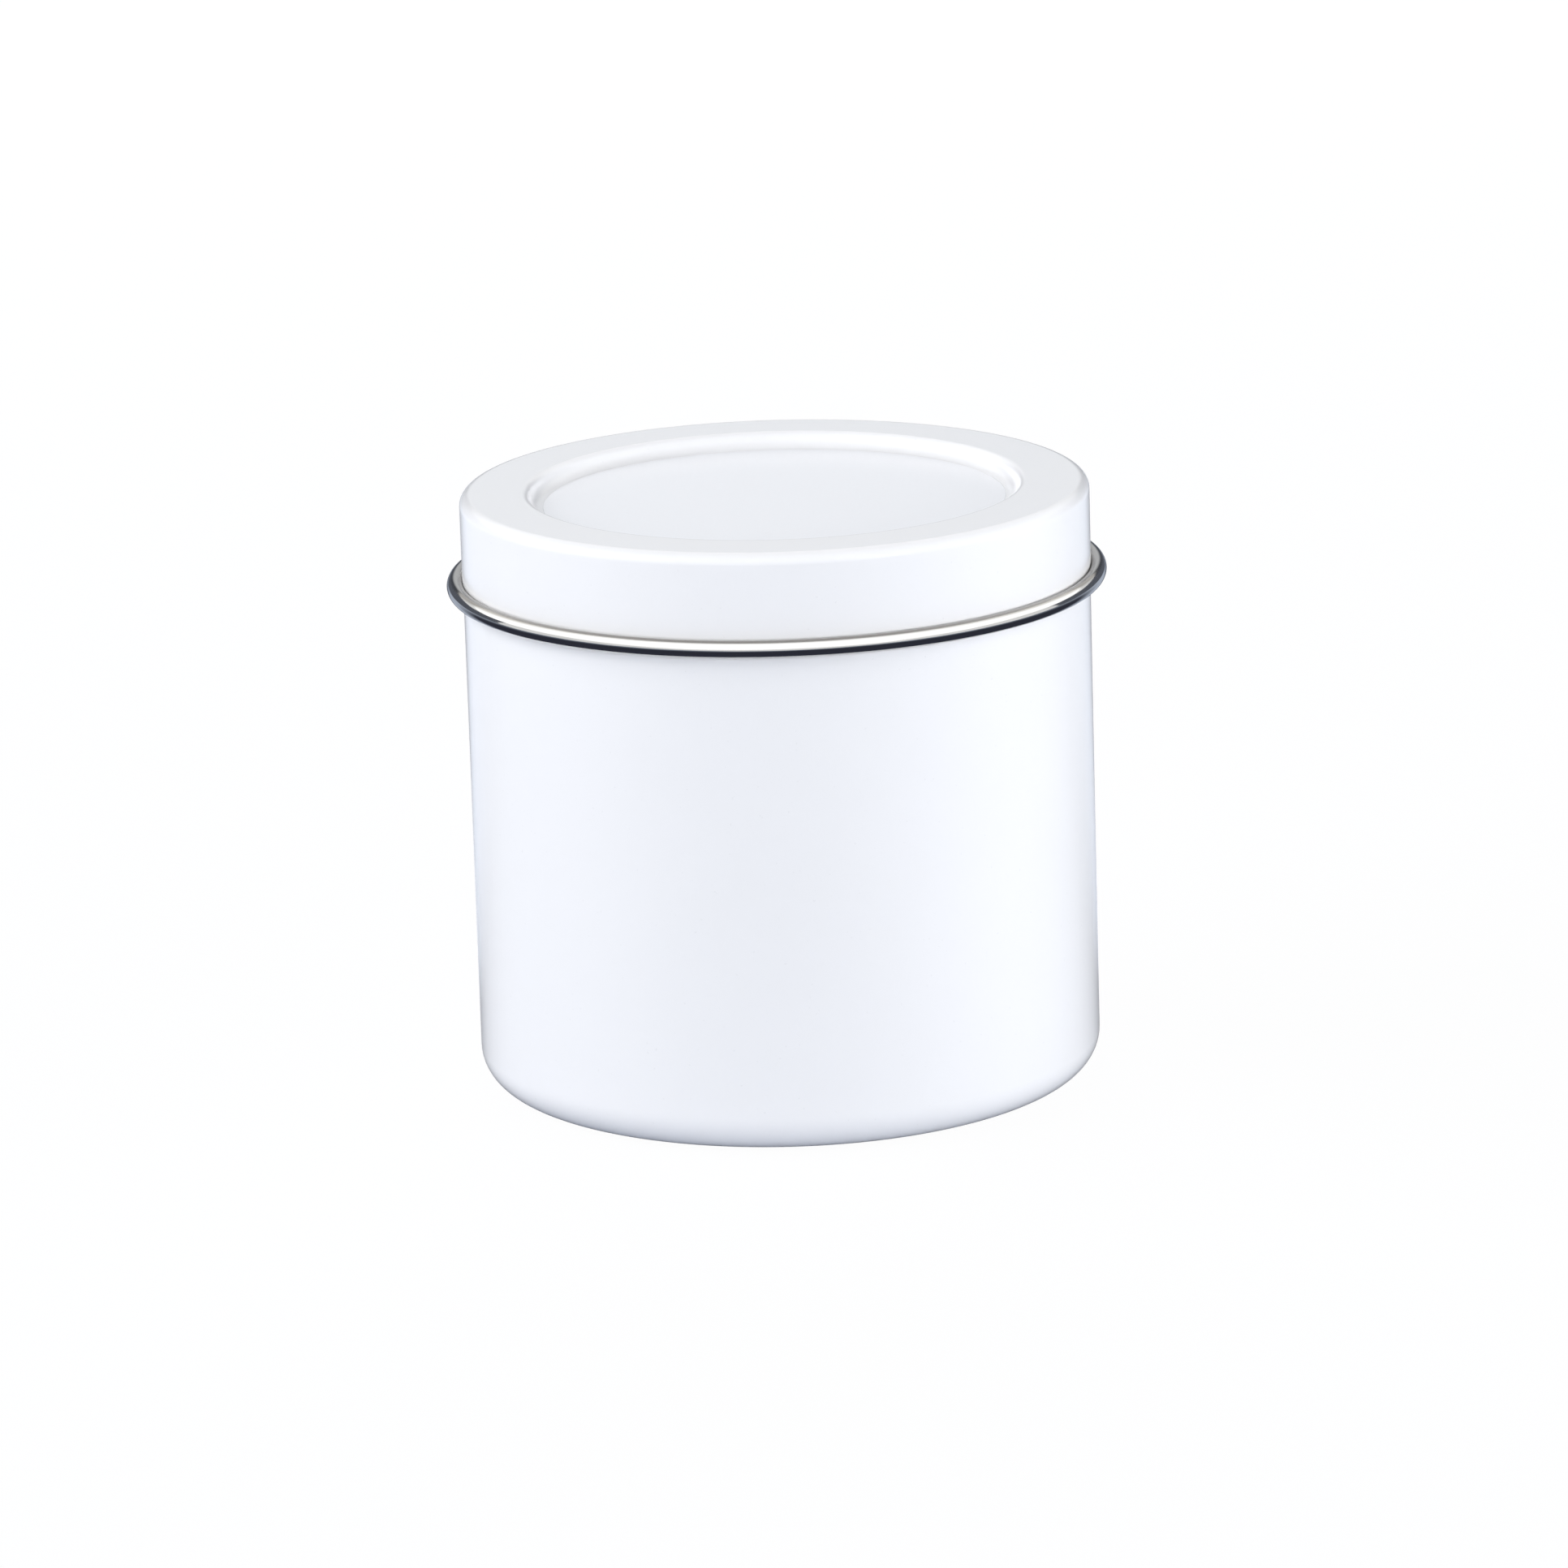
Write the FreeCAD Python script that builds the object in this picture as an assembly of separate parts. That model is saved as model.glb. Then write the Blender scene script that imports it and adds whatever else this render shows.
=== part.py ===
"""Round slip-lid tin with a window in the lid.

A drawn tinplate can has a rounded base corner, a neck that is drawn in slightly and a
mouth rolled inwards. Its slip-over lid has a skirt that is nearly flush with the can's
wall and ends in an outward roll. The lid's top is a flat ring with a soft step down to
a window. The step ends in a narrow seat that lies on the rim of the window pane, and
the pane's raised middle is flush with the seat. A ring of foam tape bonds the pane to
the underside of the lid's ring.

Every piece is a body of revolution about +Z. The origin is the centre of the
standing ring, on the surface that the tin stands on. Lengths are in millimetres.
"""

import FreeCAD, Part
import math
import os

# Sheet and fits
SHEET = 0.20                 # tinplate thickness of can and lid
SLIP_FIT = 0.08              # radial clearance between the can's neck and the lid's skirt
SEAT_GAP = 0.10              # from the rolled mouth up to the lid's ring

# Can
CAN_DIAMETER = 76.0          # outside of the straight wall
CAN_HEIGHT = 72.90           # from the standing ring to the top of the rolled mouth
BASE_CORNER_RADIUS = 4.4     # outside radius where the wall turns into the base
STANDING_RING_WIDTH = 1.6    # flat ring that the tin stands on
BASE_RECESS = 1.2            # height of the base panel above the standing ring
BASE_BEND_RADIUS = 1.0       # outside radius of the two bends beside the base panel
BASE_STEP_ANGLE = 45.0       # slope of the step between them, in degrees
NECK_INSET = 0.20            # how far the neck inside the lid's skirt is drawn in
NECK_STEP_ANGLE = 30.0       # slope of the neck's step off the wall, in degrees
NECK_BEND_RADIUS = 0.5       # outside radius of the two bends beside that slope
NECK_RISE = 0.10             # from the lid's lowest point to the top of the neck's step
MOUTH_ROLL_RADIUS = 1.0      # outside radius of the mouth's inward roll
MOUTH_ROLL_GAP = 0.40        # from the roll's raw edge to the inside of the wall

# Lid
LID_HEIGHT = 12.2            # from the lowest point of the skirt's roll to the ring's top
LID_RING_WIDTH = 7.60        # from the skirt's outside to where the ring turns down
CORNER_RELIEF = 0.15         # how much wider the lid's corner is bent than the mouth's roll
SKIRT_ROLL_RADIUS = 1.05     # outside radius of the skirt's outward roll
SKIRT_ROLL_GAP = 0.05        # from the roll's raw edge to the outside of the skirt

# Window
WINDOW_DEPTH = 1.9           # from the ring's top down to the seat and the pane's middle
WINDOW_STEP_ANGLE = 70.0     # slope of the step between them, in degrees
WINDOW_EDGE_RADIUS = 0.9     # upper face's radius where the ring turns down
WINDOW_FOOT_RADIUS = 1.4     # upper face's radius where the step turns into the seat
WINDOW_SEAT_WIDTH = 0.2      # flat seat that lies on the pane's rim
PANE_RIM_THICKNESS = 0.6     # pane under the seat and the tape
PANE_SEAM = 0.05             # from the seat's raw edge to the pane's raised middle
TAPE_WIDTH = 2.0             # foam tape ring, flush with the pane's outside
TAPE_GAP = 0.6               # from where the ring turns down to the tape

# Radii and heights that follow from the sizes above
CAN_RADIUS = CAN_DIAMETER / 2
NECK_RADIUS = CAN_RADIUS - NECK_INSET
SKIRT_INNER_RADIUS = NECK_RADIUS + SLIP_FIT
SKIRT_OUTER_RADIUS = SKIRT_INNER_RADIUS + SHEET
LID_CORNER_RADIUS = MOUTH_ROLL_RADIUS + SHEET + CORNER_RELIEF
RING_INNER_RADIUS = SKIRT_OUTER_RADIUS - LID_RING_WIDTH
TAPE_INNER_RADIUS = RING_INNER_RADIUS + TAPE_GAP
PANE_RADIUS = TAPE_INNER_RADIUS + TAPE_WIDTH
LID_UNDERSIDE = CAN_HEIGHT + SEAT_GAP
LID_TOP = LID_UNDERSIDE + SHEET
LID_FOOT = LID_TOP - LID_HEIGHT
PANE_TOP = LID_TOP - WINDOW_DEPTH
PANE_RIM_TOP = PANE_TOP - SHEET

# Heading in the section plane and turns, in degrees
OUTWARDS = 0.0
QUARTER_TURN = 90.0
FULL_TURN = 360.0


class SheetSection:
    """Section of a bent sheet in the half plane (radius, height).

    One face of the sheet is walked in straight runs and tangent bends. The other
    face lies one thickness to the side: its runs are parallel to the walked ones and
    its bends share their centres. A positive turn is to the left.
    """

    def __init__(self, radius, height, heading, thickness, side):
        self.position = (radius, height)
        self.heading = math.radians(heading)
        self.offset = thickness if side == "left" else -thickness
        self.walked = []
        self.other = []
        self.first_cap = line(self.across(self.position, self.heading), self.position)

    def across(self, position, heading):
        """The point of the other face that lies across the sheet from a position."""
        return (
            position[0] - self.offset * math.sin(heading),
            position[1] + self.offset * math.cos(heading),
        )

    def run(self, length):
        """Straight on for a length."""
        start = self.position
        end = (
            start[0] + length * math.cos(self.heading),
            start[1] + length * math.sin(self.heading),
        )
        self.walked.append(line(start, end))
        self.other.append(line(self.across(start, self.heading), self.across(end, self.heading)))
        self.position = end

    def run_to_radius(self, radius):
        """Straight on, level, until the walked face reaches a radius."""
        self.run(abs(radius - self.position[0]))

    def run_to_height(self, height):
        """Straight on, upright, until the walked face reaches a height."""
        self.run(abs(height - self.position[1]))

    def bend(self, radius, turn):
        """A tangent bend of the walked face, with its radius and its turn in degrees."""
        turn = math.radians(turn)
        reach = math.copysign(radius, turn)
        centre = (
            self.position[0] - reach * math.sin(self.heading),
            self.position[1] + reach * math.cos(self.heading),
        )
        headings = [self.heading, self.heading + turn / 2, self.heading + turn]
        near = [(centre[0] + reach * math.sin(h), centre[1] - reach * math.cos(h)) for h in headings]
        far = [self.across(place, h) for place, h in zip(near, headings)]
        self.walked.append(arc(*near))
        self.other.append(arc(*far))
        self.position = near[-1]
        self.heading = headings[-1]

    def revolved(self):
        """The solid that the section sweeps about the Z axis."""
        last_cap = line(self.position, self.across(self.position, self.heading))
        edges = self.walked + [last_cap] + self.other[::-1] + [self.first_cap]
        face = Part.Face(Part.Wire(Part.__sortEdges__(edges)))
        return face.revolve(FreeCAD.Vector(0, 0, 0), FreeCAD.Vector(0, 0, 1), FULL_TURN)


def in_space(place):
    """A point of the section plane, in space."""
    return FreeCAD.Vector(place[0], 0, place[1])


def line(start, end):
    """A straight edge of the section."""
    return Part.LineSegment(in_space(start), in_space(end)).toShape()


def arc(start, middle, end):
    """A round edge of the section, through three points."""
    return Part.Arc(in_space(start), in_space(middle), in_space(end)).toShape()


def roll_turn(radius, gap):
    """How far an edge can be rolled before it comes within a gap of its own sheet, in degrees."""
    return FULL_TURN - math.degrees(math.acos(1 - (SHEET + gap) / radius))


def step_sizes(offset, angle, bends):
    """Slope length and overall length of a step between two parallel straights.

    The step shifts the sheet sideways by an offset, with a slope angle and two bends'
    radii. A bend of radius R takes up R (1 - cos a) of the offset and R sin a of the
    step's length.
    """
    angle = math.radians(angle)
    slope = (offset - sum(bends) * (1 - math.cos(angle))) / math.sin(angle)
    return slope, sum(bends) * math.sin(angle) + slope * math.cos(angle)


def window_seat_radius():
    """Radius of the raw edge of the seat inside the window step."""
    bends = (WINDOW_EDGE_RADIUS, WINDOW_FOOT_RADIUS)
    step_width = step_sizes(WINDOW_DEPTH, WINDOW_STEP_ANGLE, bends)[1]
    return RING_INNER_RADIUS - step_width - WINDOW_SEAT_WIDTH


def can_body():
    """Drawn cup: recessed base panel, standing ring, wall, drawn-in neck, mouth rolled inwards."""
    base_slope, base_step = step_sizes(BASE_RECESS, BASE_STEP_ANGLE, (BASE_BEND_RADIUS, BASE_BEND_RADIUS))
    neck_slope, neck_step = step_sizes(NECK_INSET, NECK_STEP_ANGLE, (NECK_BEND_RADIUS, NECK_BEND_RADIUS))
    standing_ring_inner = CAN_RADIUS - BASE_CORNER_RADIUS - STANDING_RING_WIDTH
    section = SheetSection(0, BASE_RECESS, OUTWARDS, SHEET, "left")
    section.run_to_radius(standing_ring_inner - base_step)
    section.bend(BASE_BEND_RADIUS, -BASE_STEP_ANGLE)
    section.run(base_slope)
    section.bend(BASE_BEND_RADIUS, BASE_STEP_ANGLE)
    section.run(STANDING_RING_WIDTH)
    section.bend(BASE_CORNER_RADIUS, QUARTER_TURN)
    section.run_to_height(LID_FOOT + NECK_RISE - neck_step)
    section.bend(NECK_BEND_RADIUS, NECK_STEP_ANGLE)
    section.run(neck_slope)
    section.bend(NECK_BEND_RADIUS, -NECK_STEP_ANGLE)
    section.run_to_height(CAN_HEIGHT - MOUTH_ROLL_RADIUS)
    section.bend(MOUTH_ROLL_RADIUS, roll_turn(MOUTH_ROLL_RADIUS, MOUTH_ROLL_GAP))
    return section.revolved()


def lid_shell():
    """Drawn lid: window seat, step, flat ring, rounded corner, skirt, outward roll."""
    slope = step_sizes(WINDOW_DEPTH, WINDOW_STEP_ANGLE, (WINDOW_EDGE_RADIUS, WINDOW_FOOT_RADIUS))[0]
    section = SheetSection(window_seat_radius(), PANE_TOP, OUTWARDS, SHEET, "right")
    section.run(WINDOW_SEAT_WIDTH)
    section.bend(WINDOW_FOOT_RADIUS, WINDOW_STEP_ANGLE)
    section.run(slope)
    section.bend(WINDOW_EDGE_RADIUS, -WINDOW_STEP_ANGLE)
    section.run_to_radius(SKIRT_OUTER_RADIUS - LID_CORNER_RADIUS)
    section.bend(LID_CORNER_RADIUS, -QUARTER_TURN)
    section.run_to_height(LID_FOOT + SKIRT_ROLL_RADIUS)
    section.bend(SKIRT_ROLL_RADIUS - SHEET, roll_turn(SKIRT_ROLL_RADIUS, SKIRT_ROLL_GAP))
    return section.revolved()


def window_pane():
    """Disc that closes the window from below, with a raised middle flush with the seat."""
    foot = FreeCAD.Vector(0, 0, PANE_RIM_TOP - PANE_RIM_THICKNESS)
    rim = Part.makeCylinder(PANE_RADIUS, PANE_RIM_THICKNESS, foot)
    middle = Part.makeCylinder(window_seat_radius() - PANE_SEAM, PANE_RIM_THICKNESS + SHEET, foot)
    return rim.fuse(middle).removeSplitter()


def window_tape():
    """Foam tape ring that fills the space between the pane's rim and the lid's ring."""
    foot = FreeCAD.Vector(0, 0, PANE_RIM_TOP)
    height = LID_UNDERSIDE - PANE_RIM_TOP
    core = Part.makeCylinder(TAPE_INNER_RADIUS, height, foot)
    return Part.makeCylinder(PANE_RADIUS, height, foot).cut(core)


NODES = {
    "can_body": can_body,
    "lid_shell": lid_shell,
    "window_pane": window_pane,
    "window_tape": window_tape,
}


def main():
    """Writes one STEP file for each node and prints what it holds."""
    os.makedirs("parts", exist_ok=True)
    for name, make in NODES.items():
        shape = make()
        shape.exportStep(f"parts/{name}.step")
        box = shape.optimalBoundingBox()
        print(f"{name}: valid {shape.isValid()}, solids {len(shape.Solids)}, {shape.Volume:.1f} mm3")
        print(f"  height {box.ZMin:.3f} to {box.ZMax:.3f}, across {box.XLength:.3f}")


main()
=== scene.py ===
"""Window lid tin: shapes, finishes and a small studio, laid out as an add-on.

The can and the lid are bent sheets. Each is a section in the plane (radius, height),
carried round the Z axis on a grid. The side that was outside before forming carries
white lacquer, and the other side is bare tinplate, so the can is bright inside and the
lid's outward roll is bright where the sheet's inner side comes round to the outside.
"""

import math

import bpy
import numpy as np
from bpy.props import FloatProperty, FloatVectorProperty, IntProperty, PointerProperty
from mathutils import Matrix, Vector


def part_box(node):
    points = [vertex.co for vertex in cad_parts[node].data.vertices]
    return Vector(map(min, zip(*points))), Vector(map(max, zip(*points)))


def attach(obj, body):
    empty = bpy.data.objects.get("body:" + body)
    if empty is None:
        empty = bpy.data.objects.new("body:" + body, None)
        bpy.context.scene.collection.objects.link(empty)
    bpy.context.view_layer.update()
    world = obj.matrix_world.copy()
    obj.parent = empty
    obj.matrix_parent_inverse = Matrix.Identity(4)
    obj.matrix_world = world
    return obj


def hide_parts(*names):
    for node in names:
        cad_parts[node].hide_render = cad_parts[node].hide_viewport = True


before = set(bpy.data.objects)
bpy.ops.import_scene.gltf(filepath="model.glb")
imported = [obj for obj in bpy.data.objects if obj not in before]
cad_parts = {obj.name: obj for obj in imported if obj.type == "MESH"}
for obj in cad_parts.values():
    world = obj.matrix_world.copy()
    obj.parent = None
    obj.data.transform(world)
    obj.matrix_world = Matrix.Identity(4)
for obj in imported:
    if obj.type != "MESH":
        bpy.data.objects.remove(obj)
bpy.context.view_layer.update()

bl_info = {
    "name": "Window Lid Tin",
    "version": (1, 0, 0),
    "blender": (4, 5, 0),
    "location": "View3D > Sidebar > Tin",
    "description": "Builds a round tin with a slip-over window lid, and a studio to show it in",
    "category": "Add Mesh",
}

MM = 0.001
LONGEST = 50.0
_, CAN_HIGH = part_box("can_body")
LID_LOW, LID_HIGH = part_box("lid_shell")
PANE_LOW, PANE_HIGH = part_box("window_pane")
TAPE_LOW, TAPE_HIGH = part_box("window_tape")

# Steps of the grids
RUN_STEP = 2.0 * MM
SHORT_STEP = 0.03 * MM
SHORT_SHARE = 0.25
BEND_STEP = math.radians(6.0)
EDGE_STEPS = 6
TAPE_ROWS = 15
BACKDROP_COLUMNS = 25

# Waves round the axis: how many of each there are, and where they start
WALL_LOBES = (2, 3, 5, 8)
WALL_PHASES = (0.4, 2.1, 4.0, 1.2)
ROLL_LOBES = (7, 13, 22, 37)
ROLL_PHASES = (1.0, 3.3, 0.2, 5.1)

# Ramps, as (position, level)
SPECK_STOPS = ((0.76, 0.0), (0.80, 1.0))
# Darkening beside a raw edge: a dull sheared edge, and painted shade in the crease where a roll meets its
# own sheet
DULL_EDGE_AND_CREASE_SHADE_STOPS = ((0.0, 0.88), (0.155, 0.836), (0.19, 0.053), (0.9, 0.053), (1.0, 0.0))
# Painted shade in the pits of the foam's open cells
PORE_PAINTED_SHADE_STOPS = ((0.10, 1.0), (0.38, 0.0))
# Ramps of the painted reflections, which only glossy rays see
FAR_PAINTED_REFLECTION_STOPS = ((0.22, 0.0), (0.60, 1.0))
REAR_PAINTED_REFLECTION_STOPS = ((0.55, 0.0), (0.80, 1.0), (0.88, 1.0), (0.945, 0.0))
BACKDROP_UPPER_PAINTED_REFLECTION_STOPS = ((0.40, 0.0), (0.70, 1.0))
BACKDROP_MIDDLE_PAINTED_REFLECTION_STOPS = ((0.976, 0.0), (0.994, 1.0))

WHITE = (1.0, 1.0, 1.0, 1.0)
SCREEN_WHITE = 255
SENSOR_WIDTH = 36.0


def length(name, description, metres):
    """A length that a user can change."""
    return FloatProperty(
        name=name, description=description, default=metres, min=0.0, max=LONGEST, precision=5, unit="LENGTH"
    )


def angle(name, description, degrees):
    """An angle that a user can change, kept in radians."""
    return FloatProperty(
        name=name, description=description, default=math.radians(degrees), subtype="ANGLE", unit="ROTATION"
    )


def amount(name, description, default, largest=10.0):
    """A plain number that a user can change."""
    return FloatProperty(
        name=name, description=description, default=default, min=0.0, max=largest, precision=3
    )


def share(name, description, default):
    """A part of a whole that a user can change, from 0 to 1."""
    return FloatProperty(
        name=name, description=description, default=default, min=0.0, max=1.0, precision=3, subtype="FACTOR"
    )


def waves(name, description, default):
    """Waves of a grain in a metre, which a user can change."""
    return amount(name, description + ", in waves per metre", default, largest=10000.0)


def colour(name, description, red, green, blue):
    """A colour that a user can change, given as it looks on screen, from 0 to 255."""
    return FloatVectorProperty(
        name=name,
        description=description,
        default=[screen_to_linear(channel / SCREEN_WHITE) for channel in (red, green, blue)],
        min=0.0,
        max=1.0,
        subtype="COLOR",
        size=3,
    )


def screen_to_linear(value):
    """The linear light of a screen value, both from 0 to 1, by the sRGB curve."""
    return value / 12.92 if value <= 0.04045 else ((value + 0.055) / 1.055) ** 2.4


class TinSizes(bpy.types.PropertyGroup):
    """Sizes of the tin's pieces."""

    sheet: length("Sheet", "Thickness of the tinplate", 0.20 * MM)
    can_radius: length("Can radius", "Outside of the can's straight wall", CAN_HIGH.x)
    can_height: length("Can height", "Top of the can's rolled mouth", CAN_HIGH.z)
    base_corner: length("Base corner", "Radius where the wall turns into the base", 4.4 * MM)
    standing_ring: length("Standing ring", "Width of the flat ring that the tin stands on", 1.6 * MM)
    base_recess: length("Base recess", "Height of the base panel above the standing ring", 1.2 * MM)
    base_bend: length("Base bend", "Radius of the bends beside the base panel", 1.0 * MM)
    base_step: angle("Base step", "Slope of the step beside the base panel", 45.0)
    neck_inset: length("Neck inset", "How far the neck inside the lid's skirt is drawn in", 0.20 * MM)
    neck_step: angle("Neck step", "Slope of the neck's step off the wall", 30.0)
    neck_bend: length("Neck bend", "Radius of the bends beside the neck's slope", 0.5 * MM)
    neck_rise: length("Neck rise", "From the lid's lowest point to the top of the neck's step", 0.10 * MM)
    mouth_roll: length("Mouth roll", "Outside radius of the mouth's inward roll", 1.0 * MM)
    mouth_gap: length("Mouth gap", "From the mouth roll's raw edge to the wall", 0.40 * MM)
    slip_fit: length("Slip fit", "Clearance between the can's neck and the lid's skirt", 0.08 * MM)
    lid_top: length("Lid top", "Height of the lid's ring", LID_HIGH.z)
    lid_foot: length("Lid foot", "Lowest point of the skirt's roll", LID_LOW.z)
    ring_width: length("Ring width", "From the skirt to where the ring turns down", 7.60 * MM)
    lid_corner: length("Lid corner", "Radius between the ring and the skirt", 1.35 * MM)
    skirt_roll: length("Skirt roll", "Outside radius of the skirt's outward roll", 1.05 * MM)
    skirt_gap: length("Skirt gap", "From the skirt roll's raw edge to the skirt", 0.02 * MM)
    window_step: angle("Window step", "Slope of the step from the ring down to the window", 70.0)
    window_edge: length("Window edge", "Radius where the ring turns down into the step", 0.9 * MM)
    window_foot: length("Window foot", "Radius where the step turns into its seat", 1.4 * MM)
    window_seat: length("Window seat", "Width of the flat seat on the pane's rim", 0.2 * MM)
    pane_radius: length("Pane radius", "Outer radius of the pane and its tape", PANE_HIGH.x)
    pane_top: length("Pane top", "Height of the pane's raised middle and of the seat", PANE_HIGH.z)
    pane_foot: length("Pane foot", "Height of the pane's lower face", PANE_LOW.z)
    pane_seam: length("Pane seam", "From the seat's raw edge to the pane's raised middle", 0.005 * MM)
    pane_rim: length("Pane rim", "Rounding of the pane's edges", 0.02 * MM)
    tape_width: length("Tape width", "Width of the foam tape ring", 2.0 * MM)
    tape_top: length("Tape top", "Height of the foam tape's upper face", TAPE_HIGH.z)
    tape_foot: length("Tape foot", "Height of the pane's rim, which the tape lies on", TAPE_LOW.z)
    tape_waist: length("Tape waist", "How far the tape draws in at its upper and lower edges", 0.12 * MM)
    wall_wave: length("Wall wave", "Depth of the can wall's slight unevenness", 0.03 * MM)
    roll_wave: length("Roll wave", "Depth of the skirt roll's slight unevenness", 0.02 * MM)
    around: IntProperty(name="Around", description="Grid steps round the axis", default=288, min=24, max=512)


class TinColours(bpy.types.PropertyGroup):
    """Colours of the tin's finishes."""

    lacquer: colour("Lacquer", "White lacquer on can and lid", 242, 243, 246)
    tinplate: colour("Tinplate", "Bare tinplate", 222, 222, 221)
    # Dull sheared edge, also used as painted shade in the crease where a roll meets its own sheet
    dull_edge_and_crease_shade: colour("Dull tinplate", "Tinplate that is dulled beside a raw edge", 124, 119, 111)
    opal: colour("Opal", "Milky window pane", 248, 250, 255)
    foam: colour("Foam", "Foam tape under the lid", 226, 225, 220)


class TinGrain(bpy.types.PropertyGroup):
    """Grain, gloss and wear of the tin's finishes."""

    lacquer_cloud: waves("Lacquer cloud", "Faint clouds in the lacquer", 55.0)
    lacquer_cloud_shade: share("Lacquer cloud shade", "Light that is left in a cloud", 0.9825)
    lacquer_peel: waves("Lacquer peel", "Orange peel of the lacquer", 900.0)
    lacquer_peel_depth: share("Lacquer peel depth", "Share of the sheet's grain depth", 0.5)
    lacquer_speck: waves("Lacquer speck", "Fine specks in the lacquer", 2600.0)
    lacquer_speck_shade: share("Lacquer speck shade", "Light that is left in a speck", 0.92)
    lacquer_roughness: share("Lacquer roughness", "Roughness between the clouds", 0.12)
    lacquer_cloud_roughness: share("Lacquer cloud roughness", "Added in a cloud", 0.06)
    lacquer_ior: amount("Lacquer IOR", "Index of refraction of the lacquer", 1.5)
    ring: waves("Ring", "Fine rings that drawing leaves on tinplate", 5200.0)
    ring_turns: amount("Ring turns", "How much the fine rings change round the axis", 3.0)
    ring_strength: share("Ring strength", "How far the fine rings shade the tinplate", 0.6)
    ring_depth: share("Ring depth", "Share of the sheet's grain depth", 0.6)
    broad_ring: waves("Broad ring", "Broad rings that drawing leaves on tinplate", 420.0)
    broad_ring_turns: amount("Broad ring turns", "How much the broad rings change round the axis", 1.5)
    broad_ring_strength: share("Broad ring strength", "How far the broad rings shade the tinplate", 0.3)
    ring_shade: share("Ring shade", "Light that is left in a ring", 0.72)
    tinplate_roughness: share("Tinplate roughness", "Roughness between the fine rings", 0.05)
    ring_roughness: share("Ring roughness", "Added in a fine ring", 0.08)
    # Reach of the dull edge and of the painted crease shade
    dull_edge_and_crease_shade_reach: length("Dull reach", "How far the tinplate is dulled from its raw edge", 7.0 * MM)
    sheet_depth: length("Sheet grain depth", "Depth of the sheet's peel and rings", 0.01 * MM)
    sheet_relief: share("Sheet relief", "Strength of the sheet's peel and rings", 0.5)
    opal_cloud: waves("Opal cloud", "Faint clouds in the pane", 40.0)
    opal_cloud_shade: share("Opal cloud shade", "Light that is left in a cloud", 0.985)
    opal_grain: waves("Opal grain", "Fine grain of the pane", 3500.0)
    opal_roughness: share("Opal roughness", "Roughness between the grains", 0.13)
    opal_grain_roughness: share("Opal grain roughness", "Added in a grain", 0.08)
    opal_ior: amount("Opal IOR", "Index of refraction of the pane", 1.49)
    opal_depth: length("Opal depth", "Depth of the pane's grain", 0.003 * MM)
    opal_relief: share("Opal relief", "Strength of the pane's grain", 0.4)
    foam_cell: waves("Foam cell", "Cells of the foam", 4200.0)
    # Painted shade in the pits of the foam's open cells, and random clouds
    foam_pore_painted_shade_strength: share("Foam pore strength", "How far the open cells shade the foam", 0.7)
    foam_cloud: waves("Foam cloud", "Clouds in the foam", 300.0)
    foam_cloud_strength: share("Foam cloud strength", "How far the clouds shade the foam", 0.2)
    foam_shade: share("Foam shade", "Light that is left in an open cell", 0.62)
    foam_roughness: share("Foam roughness", "Roughness between the clouds", 0.85)
    foam_cloud_roughness: share("Foam cloud roughness", "Added in a cloud", 0.1)
    foam_depth: length("Foam depth", "Depth of the open cells", 0.08 * MM)
    foam_relief: share("Foam relief", "Strength of the open cells", 0.8)


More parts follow.
